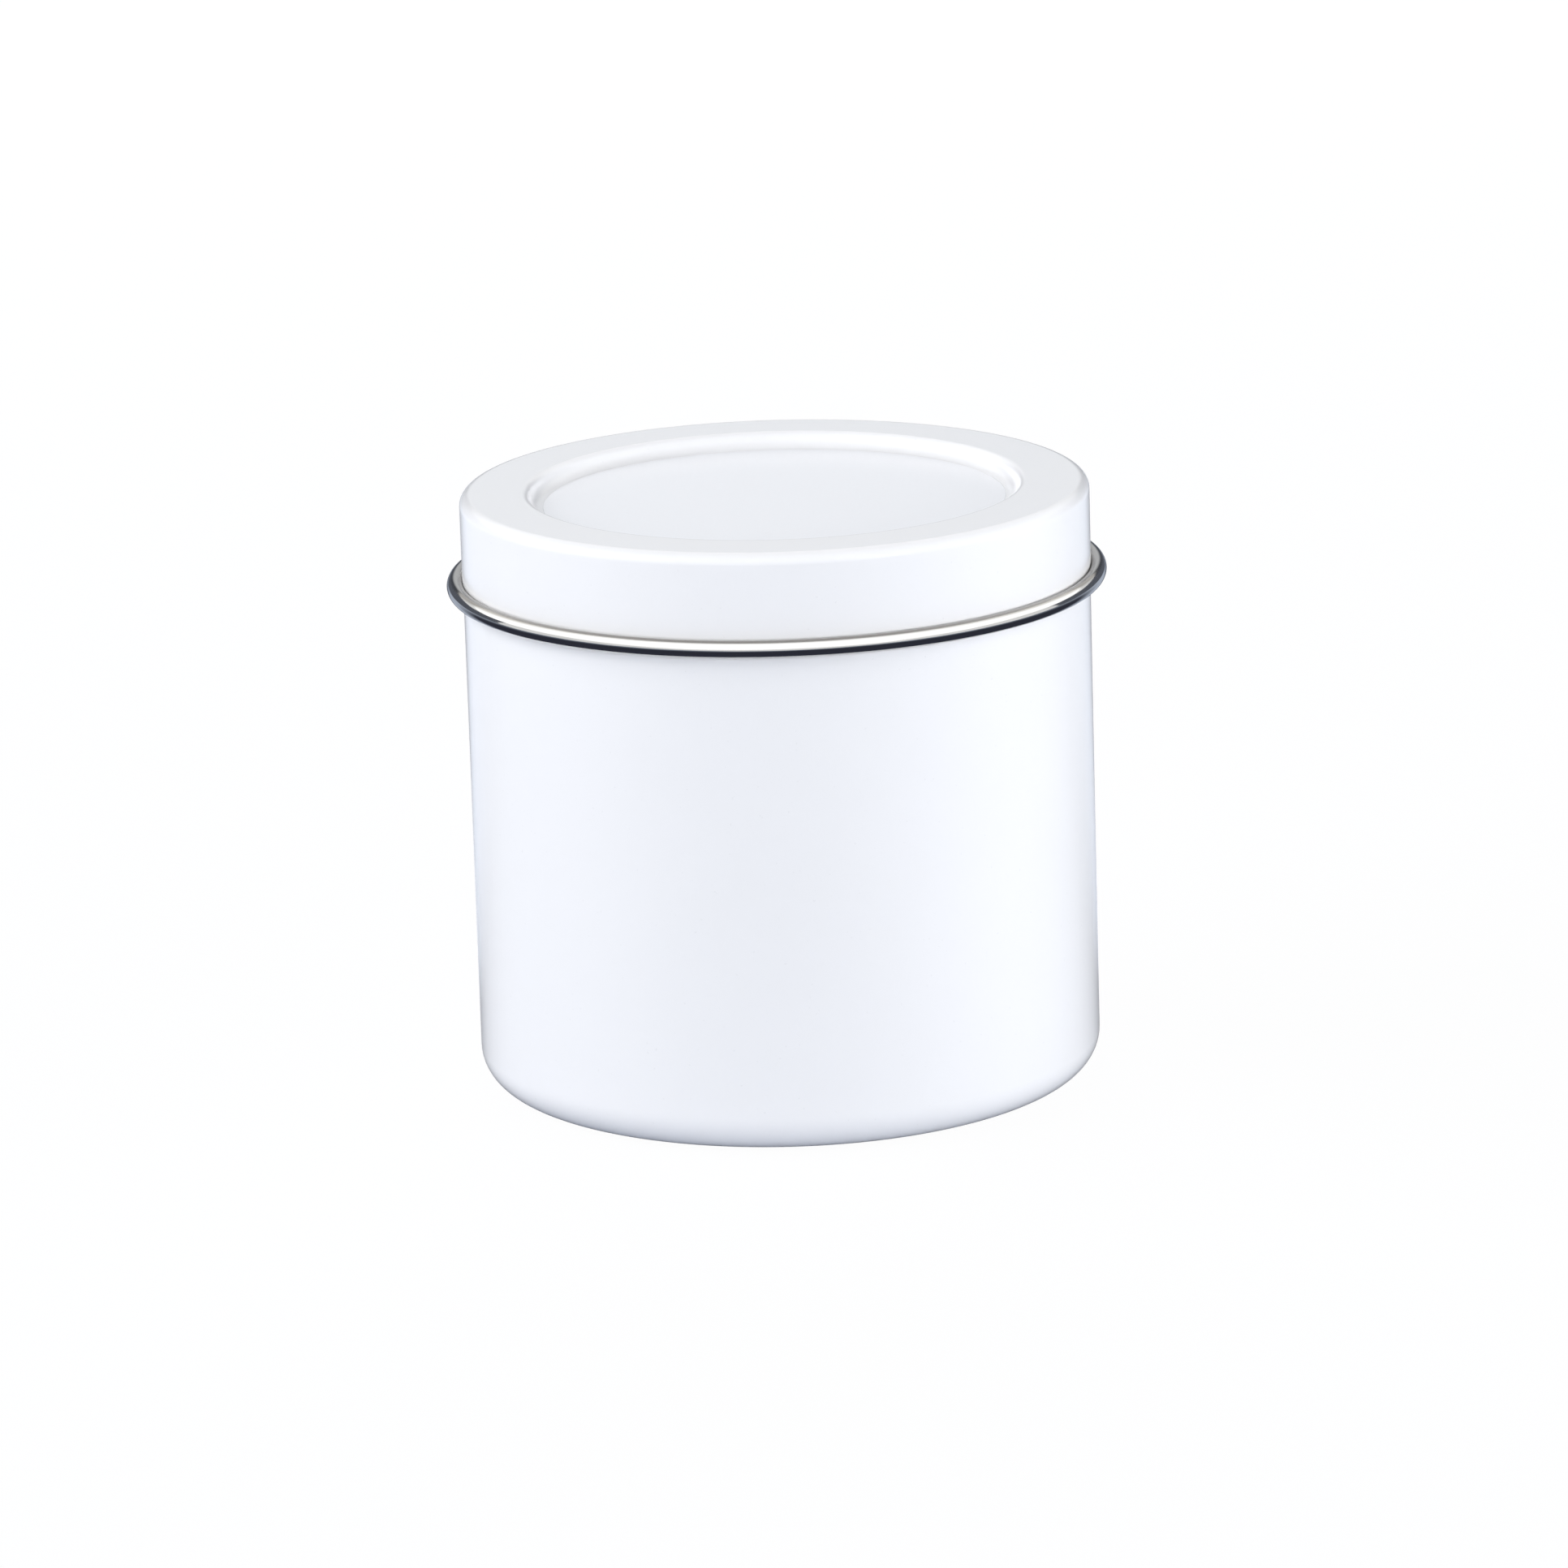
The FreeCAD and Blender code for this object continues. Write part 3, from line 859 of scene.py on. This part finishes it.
class TIN_OT_lid(bpy.types.Operator):
    """Adds the lid, with its window edge, ring, skirt and bare outward roll"""

    bl_idname = "tin.lid"
    bl_label = "Lid"

    def execute(self, context):
        sizes, colours, grain = settings_of(context)
        section = lid_section(sizes)
        piece = lathe("window_lid", section, sizes.around, roll_dent(sizes, section))
        material = lacquered_sheet("lacquered lid", colours, grain)
        finished(piece, material, "lid_shell", "lid")
        return {"FINISHED"}


class TIN_OT_pane(bpy.types.Operator):
    """Adds the milky window pane"""

    bl_idname = "tin.pane"
    bl_label = "Window pane"

    def execute(self, context):
        sizes, colours, grain = settings_of(context)
        piece = lathe("opal_pane", pane_section(sizes), sizes.around)
        material = opal_sheet("opal sheet", colours, grain)
        finished(piece, material, "window_pane", "lid")
        return {"FINISHED"}


class TIN_OT_tape(bpy.types.Operator):
    """Adds the foam tape ring that bonds the pane to the lid"""

    bl_idname = "tin.tape"
    bl_label = "Foam tape"

    def execute(self, context):
        sizes, colours, grain = settings_of(context)
        piece = lathe("foam_ring", tape_section(sizes), sizes.around)
        material = cut_foam("foam tape", colours, grain)
        finished(piece, material, "window_tape", "lid")
        return {"FINISHED"}


def seen_directly(finish):
    """1 for rays that show the background: from the camera, in gloss and through glass."""
    rays = finish.node("ShaderNodeLightPath").outputs
    camera = Value(finish, rays["Is Camera Ray"])
    glossy = Value(finish, rays["Is Glossy Ray"])
    through = Value(finish, rays["Is Transmission Ray"])
    return camera | glossy | through


def stage_sheet(name, grid, material):
    """A sheet of the stage through a grid of points, by row and by column."""
    rows, columns = grid.shape[:2]
    corner = (np.arange(rows - 1)[:, None] * columns + np.arange(columns - 1)).ravel()
    faces = np.stack([corner, corner + 1, corner + columns + 1, corner + columns], axis=1)
    mesh = bpy.data.meshes.new(name)
    mesh.from_pydata(grid.reshape(-1, 3), [], faces.tolist())
    mesh.materials.append(material)
    sheet = add_to_scene(name, mesh)
    return sheet


def level_square(half_width, height, forward=0.0):
    """Grid of a level square: (u w, v w - f, h) for u and v of -1 and 1, with f the way forward."""
    v, u = np.meshgrid([-1.0, 1.0], [-1.0, 1.0], indexing="ij")
    return np.stack([u * half_width, v * half_width - forward, np.full_like(u, height)], axis=2)


def round_wall(distance, spread, height):
    """Grid of a round wall behind the tin: (d sin a, d cos a, z) for a from -spread to spread."""
    bearings = np.linspace(-spread, spread, BACKDROP_COLUMNS)
    z, turn = np.meshgrid([0.0, height], bearings, indexing="ij")
    return np.stack([distance * np.sin(turn), distance * np.cos(turn), z], axis=2)


def only_in_reflections(thing):
    """Hides a stage object from all rays but glossy ones."""
    thing.visible_camera = False
    thing.visible_diffuse = False
    thing.visible_transmission = False
    thing.visible_shadow = False


def glowing_painted_reflection(name, tint, strength=1.0):
    """A glowing surface that needs no light, a painted reflection for what shows only in reflections.
    tint(finish) is its colour.
    """
    material, finish = blank_material(name)
    inputs = {"Color": tint(finish), "Strength": strength}
    finish.end(finish.node("ShaderNodeEmission", None, inputs))
    return material


def painted_ground_reflection(studio):
    """Painted reflection of a dark floor, dim further out and to both sides behind the tin.

    The sides are found by the cosine of the bearing from straight behind the tin.
    """

    def tint(finish):
        place = finish.place()
        cosine = finish.coordinate(finish.outwards(place), "Y")
        far = finish.ramp(finish.magnitude(place), FAR_PAINTED_REFLECTION_STOPS)
        ground_painted_reflection = finish.blend(far, studio.mat, studio.far_painted_reflection)
        return finish.blend(finish.ramp(cosine, REAR_PAINTED_REFLECTION_STOPS), ground_painted_reflection, studio.rear_painted_reflection)

    return glowing_painted_reflection("reflected ground", tint)


def painted_backdrop_reflection(studio, height):
    """Painted reflection of a dim wall behind the tin, bright in its upper middle.

    The middle is found by the cosine of the bearing from straight behind the tin.
    """

    def tint(finish):
        place = finish.place()
        cosine = finish.coordinate(finish.outwards(place), "Y")
        upper = finish.ramp(finish.coordinate(place, "Z") / height, BACKDROP_UPPER_PAINTED_REFLECTION_STOPS)
        middle = finish.ramp(cosine, BACKDROP_MIDDLE_PAINTED_REFLECTION_STOPS)
        return finish.blend(upper * middle, studio.backdrop_painted_reflection, studio.backdrop_bright_painted_reflection)

    return glowing_painted_reflection("reflected backdrop", tint, studio.backdrop_painted_reflection_strength)


def studio_floor(studio):
    """Pale floor that keeps a part of the tin's shadow and otherwise shows as white."""
    material, finish = blank_material("studio floor")
    pale = finish.node("ShaderNodeBsdfDiffuse", None, {"Color": opaque(studio.floor)})
    white = finish.node("ShaderNodeEmission", None, {"Color": WHITE, "Strength": studio.floor_level})
    finish.end(finish.mixed(seen_directly(finish) * studio.floor_white, pale, white))
    return material


def light_up(world, studio):
    """Even light on the object from all round, seen as plain white."""
    world.use_nodes = True
    finish = Finish(world.node_tree)
    glow = {"Color": opaque(studio.ambient_tint), "Strength": studio.ambient}
    even = finish.node("ShaderNodeBackground", None, glow)
    white = finish.node("ShaderNodeBackground", None, {"Color": WHITE, "Strength": 1.0})
    finish.end(finish.mixed(seen_directly(finish), even, white), "ShaderNodeOutputWorld")


def add_painted_reflections(studio):
    """The glowing sheets that only reflections see, as painted reflections: dark under the tin, bright
    overhead and dim behind it.
    """
    top = studio.backdrop_distance * math.tan(studio.backdrop_height)
    mat = level_square(studio.dark_painted_reflection_width, -studio.floor_drop / 2)
    ceiling_painted_highlight = level_square(studio.ceiling_width, studio.ceiling_height, studio.ceiling_forward)
    wall = round_wall(studio.backdrop_distance, studio.backdrop_spread, top)
    # Painted reflection: a dark glowing sheet under the tin that only glossy rays see
    only_in_reflections(stage_sheet("painted_dark_reflection_sheet", mat, painted_ground_reflection(studio)))
    # Painted highlight: a bright glowing sheet overhead that only glossy rays see
    white = glowing_painted_reflection("reflected ceiling", lambda finish: WHITE, studio.ceiling_painted_highlight_strength)
    only_in_reflections(stage_sheet("painted_highlight_sheet", ceiling_painted_highlight, white))
    # Painted reflection: a dim glowing sheet behind the tin that only glossy rays see
    only_in_reflections(stage_sheet("painted_backdrop_reflection_sheet", wall, painted_backdrop_reflection(studio, top)))


def add_lamp(name, studio, bearing, height, width, added):
    """A square soft lamp that looks at the tin.

    bearing is the angle to the right of the view and height the angle above the floor.
    added is the light that a white surface facing the lamp gains: the lamp's power is
    pi^2 d^2 times it, because its irradiance is P / (pi d^2).
    """
    lamp = bpy.data.lights.new(name, "AREA")
    lamp.shape = "SQUARE"
    lamp.size = width
    lamp.energy = added * (math.pi * studio.lamp_distance) ** 2
    across = math.cos(height)
    towards = Vector((math.sin(bearing) * across, -math.cos(bearing) * across, math.sin(height)))
    holder = add_to_scene(name, lamp)
    holder.location = Vector(studio.target) + studio.lamp_distance * towards
    holder.rotation_euler = towards.to_track_quat("Z", "Y").to_euler()
    holder.visible_camera = False
    holder.visible_glossy = False


def add_lamps(studio):
    """Two wide side lamps, a low key lamp and a rear lamp."""
    side, width = studio.side_bearing, studio.side_width
    lamps = {
        "right lamp": (side, studio.right_height, width, studio.right_light),
        "left lamp": (-side, studio.left_height, width, studio.left_light),
        "key lamp": (studio.key_bearing, studio.key_height, studio.key_width, studio.key_light),
        "rear lamp": (math.pi, studio.rear_height, studio.rear_width, studio.rear_light),
    }
    for name, placing in lamps.items():
        add_lamp(name, studio, *placing)


def add_camera(studio):
    """The camera: it looks along +Y and down, is turned about its own axis, and has a long lens."""
    optics = bpy.data.cameras.new("camera")
    optics.sensor_width = SENSOR_WIDTH
    optics.lens = studio.lens
    down = Matrix.Rotation(math.pi / 2 - studio.view_height, 4, "X")
    turned = Matrix.Rotation(studio.view_roll, 4, "Z")
    back = down.to_3x3() @ Vector((0.0, 0.0, studio.view_distance))
    camera = add_to_scene("camera", optics)
    camera.matrix_world = Matrix.Translation(Vector(studio.target) + back) @ down @ turned
    bpy.context.scene.camera = camera


class TIN_OT_studio(bpy.types.Operator):
    """Adds the floor, the lamps, the painted reflections and highlights that only glossy rays see, and the
    camera
    """

    bl_idname = "tin.studio"
    bl_label = "Studio"

    def execute(self, context):
        scene, studio = context.scene, context.scene.tin_studio
        floor = level_square(studio.floor_width, -studio.floor_drop)
        stage_sheet("floor", floor, studio_floor(studio))
        add_painted_reflections(studio)
        scene.world = bpy.data.worlds.new("studio")
        light_up(scene.world, studio)
        add_lamps(studio)
        add_camera(studio)
        scene.view_settings.view_transform = "Standard"
        return {"FINISHED"}


class TIN_PT_sidebar(bpy.types.Panel):
    """Lists the tin's pieces, sizes, colours, grain and studio"""

    bl_idname = "TIN_PT_sidebar"
    bl_label = "Window Lid Tin"
    bl_space_type = "VIEW_3D"
    bl_region_type = "UI"
    bl_category = "Tin"

    def draw(self, context):
        layout = self.layout
        for operator in OPERATORS:
            layout.operator(operator.bl_idname)
        for group in GROUPS:
            settings = getattr(context.scene, group)
            box = layout.box()
            for key in settings.bl_rna.properties.keys():
                if key not in ("rna_type", "name"):
                    box.prop(settings, key)


OPERATORS = (TIN_OT_can, TIN_OT_lid, TIN_OT_pane, TIN_OT_tape, TIN_OT_studio)
GROUPS = {
    "tin_sizes": TinSizes,
    "tin_colours": TinColours,
    "tin_grain": TinGrain,
    "tin_studio": TinStudio,
}
CLASSES = (*GROUPS.values(), *OPERATORS, TIN_PT_sidebar)


def register():
    """Adds the classes and the settings to Blender."""
    for item in CLASSES:
        bpy.utils.register_class(item)
    for name, group in GROUPS.items():
        setattr(bpy.types.Scene, name, PointerProperty(type=group))


def unregister():
    """Takes the settings and the classes out again."""
    for name in GROUPS:
        delattr(bpy.types.Scene, name)
    for item in reversed(CLASSES):
        bpy.utils.unregister_class(item)


def main():
    """Builds the tin and its studio."""
    register()
    bpy.ops.tin.can()
    bpy.ops.tin.lid()
    bpy.ops.tin.pane()
    bpy.ops.tin.tape()
    bpy.ops.tin.studio()


if __name__ == "__main__":
    main()
